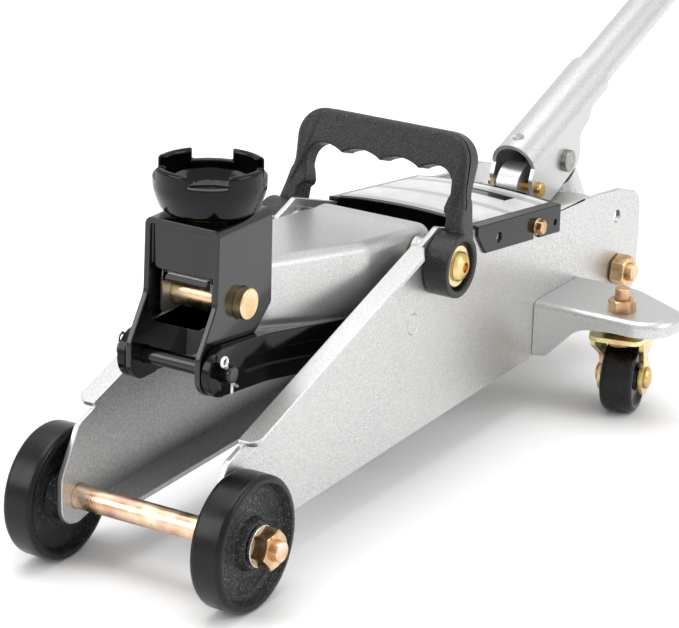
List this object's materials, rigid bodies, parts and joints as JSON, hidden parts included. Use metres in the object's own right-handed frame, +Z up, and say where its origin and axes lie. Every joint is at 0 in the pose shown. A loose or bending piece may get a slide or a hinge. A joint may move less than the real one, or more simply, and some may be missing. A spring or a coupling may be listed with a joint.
{
  "type": "car jack",
  "caption": "Hydraulic trolley jack with a levelling saddle on a lift arm, tie rods, front rollers, swivel casters, pump handle socket, folding carry handle and release valve.",
  "frame": {"origin": "centre of the bounding box in plan, on the floor the wheels stand on", "axes": "+Z up, +X towards the saddle end, +Y to the jack's left, at rest as pictured with the arm part way up"},
  "size_m": [0.9037, 0.234, 0.3173],
  "materials": {
    "silver_paint": "grey-silver hammered paint, fine bright speckle",
    "black_paint": "gloss black powder coat",
    "zinc": "yellow zinc plate, slightly iridescent",
    "steel": "ground bare steel",
    "ram_steel": "hard chrome, polished",
    "pin_brass": "turned brass",
    "wheel_iron": "cast and turned, speckled black paint",
    "carry_plastic": "moulded black plastic, leather grain",
    "label": "printed plain grey label sheet",
    "grip_rubber": "moulded black rubber sleeve"
  },
  "bodies": {
    "frame": {"left_side_plate": "silver_paint", "right_side_plate": "silver_paint", "left_caster_bracket": "silver_paint", "right_caster_bracket": "silver_paint", "front_axle": "zinc", "axle_washers": "zinc", "axle_nuts": "zinc", "rear_cross_bolt": "zinc", "rear_cross_nut": "zinc", "cross_bolt_spacers": "zinc", "lift_arm_shaft": "steel", "arm_shaft_spacers": "steel", "tie_rod_rivets": "silver_paint", "cover": "black_paint", "cover_label": "label", "cover_screws": "zinc", "carry_handle_bolts": "zinc", "carry_handle_washers": "zinc", "hydraulic_block": "silver_paint", "ram_cylinder": "steel", "reservoir": "silver_paint", "ram_gland": "steel", "filler_plug": "grip_rubber", "pump_gland": "zinc", "fulcrum_pin": "zinc", "caster_races": "zinc", "caster_bolts": "zinc", "caster_nuts": "zinc", "return_springs": "steel"},
    "left_front_wheel": {"left_front_wheel": "wheel_iron"},
    "right_front_wheel": {"right_front_wheel": "wheel_iron"},
    "lift_arm": {"lift_arm": "silver_paint", "roller_pin": "steel", "ram_roller": "steel", "bracket_pin": "zinc"},
    "saddle_bracket": {"saddle_bracket": "black_paint", "tie_bar": "zinc", "cotter_pins": "zinc", "saddle_washer": "zinc"},
    "saddle": {"saddle": "black_paint", "saddle_retainer": "steel"},
    "tie_rods": {"left_tie_rod": "black_paint", "right_tie_rod": "black_paint"},
    "ram": {"ram": "ram_steel"},
    "pump_plunger": {"pump_plunger": "ram_steel"},
    "handle_socket": {"handle_socket": "silver_paint", "plunger_pin": "pin_brass"},
    "handle": {"handle_lower_tube": "silver_paint", "handle_upper_tube": "silver_paint", "handle_grip": "grip_rubber", "handle_screw": "zinc"},
    "carry_handle": {"carry_handle": "carry_plastic"},
    "release_valve": {"release_valve": "zinc", "release_valve_pin": "steel"},
    "left_caster": {"left_caster_fork": "zinc", "left_caster_axle": "zinc"},
    "right_caster": {"right_caster_fork": "zinc", "right_caster_axle": "zinc"},
    "left_caster_wheel": {"left_caster_wheel": "wheel_iron"},
    "right_caster_wheel": {"right_caster_wheel": "wheel_iron"}
  },
  "joints": [
    {"name": "left_wheel_spin", "type": "hinge", "parent": "frame", "child": "left_front_wheel", "pos_m": [0.41946, 0.052, 0.0325], "axis": [0, 1, 0], "continuous": true},
    {"name": "right_wheel_spin", "type": "hinge", "parent": "frame", "child": "right_front_wheel", "pos_m": [0.41946, -0.052, 0.0325], "axis": [0, 1, 0], "continuous": true},
    {"name": "lift", "type": "hinge", "parent": "frame", "child": "lift_arm", "pos_m": [0.23186, 0, 0.1123], "axis": [0, -1, 0], "range_deg": [-21.2, 45], "deforming": ["return_springs"]},
    {"name": "bracket_level", "type": "hinge", "parent": "lift_arm", "child": "saddle_bracket", "pos_m": [0.37546, 0, 0.128], "axis": [0, -1, 0], "range_deg": [-45, 21.2]},
    {"name": "tie_rod_swing", "type": "hinge", "parent": "frame", "child": "tie_rods", "pos_m": [0.25387, 0, 0.0858], "axis": [0, -1, 0], "range_deg": [-21.2, 45]},
    {"name": "ram_slide", "type": "slide", "parent": "frame", "child": "ram", "axis": [1, 0, 0], "range_m": [-0.0157, 0.033]},
    {"name": "saddle_turn", "type": "hinge", "parent": "saddle_bracket", "child": "saddle", "pos_m": [0.37146, 0, 0.167], "axis": [0, 0, 1], "continuous": true},
    {"name": "handle_pump", "type": "hinge", "parent": "frame", "child": "handle_socket", "pos_m": [0.06836, 0, 0.1027], "axis": [0, 1, 0], "range_deg": [0, 40]},
    {"name": "plunger_slide", "type": "slide", "parent": "frame", "child": "pump_plunger", "axis": [0.5723, 0, 0.8201], "range_m": [0, 0.023]},
    {"name": "handle_pull", "type": "slide", "parent": "handle_socket", "child": "handle", "axis": [-0.9397, 0, 0.342], "range_m": [0, 0.06]},
    {"name": "carry_handle_swing", "type": "hinge", "parent": "frame", "child": "carry_handle", "pos_m": [0.23186, 0, 0.1123], "axis": [0, -1, 0], "range_deg": [-8, 16]},
    {"name": "release_valve_turn", "type": "hinge", "parent": "frame", "child": "release_valve", "pos_m": [0.01546, 0.016, 0.066], "axis": [-1, 0, 0], "range_deg": [0, 270]},
    {"name": "left_caster_swivel", "type": "hinge", "parent": "frame", "child": "left_caster", "pos_m": [0.11046, 0.0875, 0.05], "axis": [0, 0, 1], "continuous": true},
    {"name": "left_caster_roll", "type": "hinge", "parent": "left_caster", "child": "left_caster_wheel", "pos_m": [0.09775, 0.0848, 0.01975], "axis": [-0.2079, 0.9781, 0], "continuous": true},
    {"name": "right_caster_swivel", "type": "hinge", "parent": "frame", "child": "right_caster", "pos_m": [0.11046, -0.0875, 0.05], "axis": [0, 0, 1], "continuous": true},
    {"name": "right_caster_roll", "type": "hinge", "parent": "right_caster", "child": "right_caster_wheel", "pos_m": [0.09775, -0.0848, 0.01975], "axis": [0.2079, 0.9781, 0], "continuous": true}
  ],
  "couplings": [
    {"joint": "bracket_level", "follows": "lift", "ratio": -1},
    {"joint": "tie_rod_swing", "follows": "lift", "ratio": 1},
    {"joint": "ram_slide", "follows": "lift", "m_per_rad": 0.0418},
    {"joint": "plunger_slide", "follows": "handle_pump", "m_per_rad": 0.03275}
  ]
}
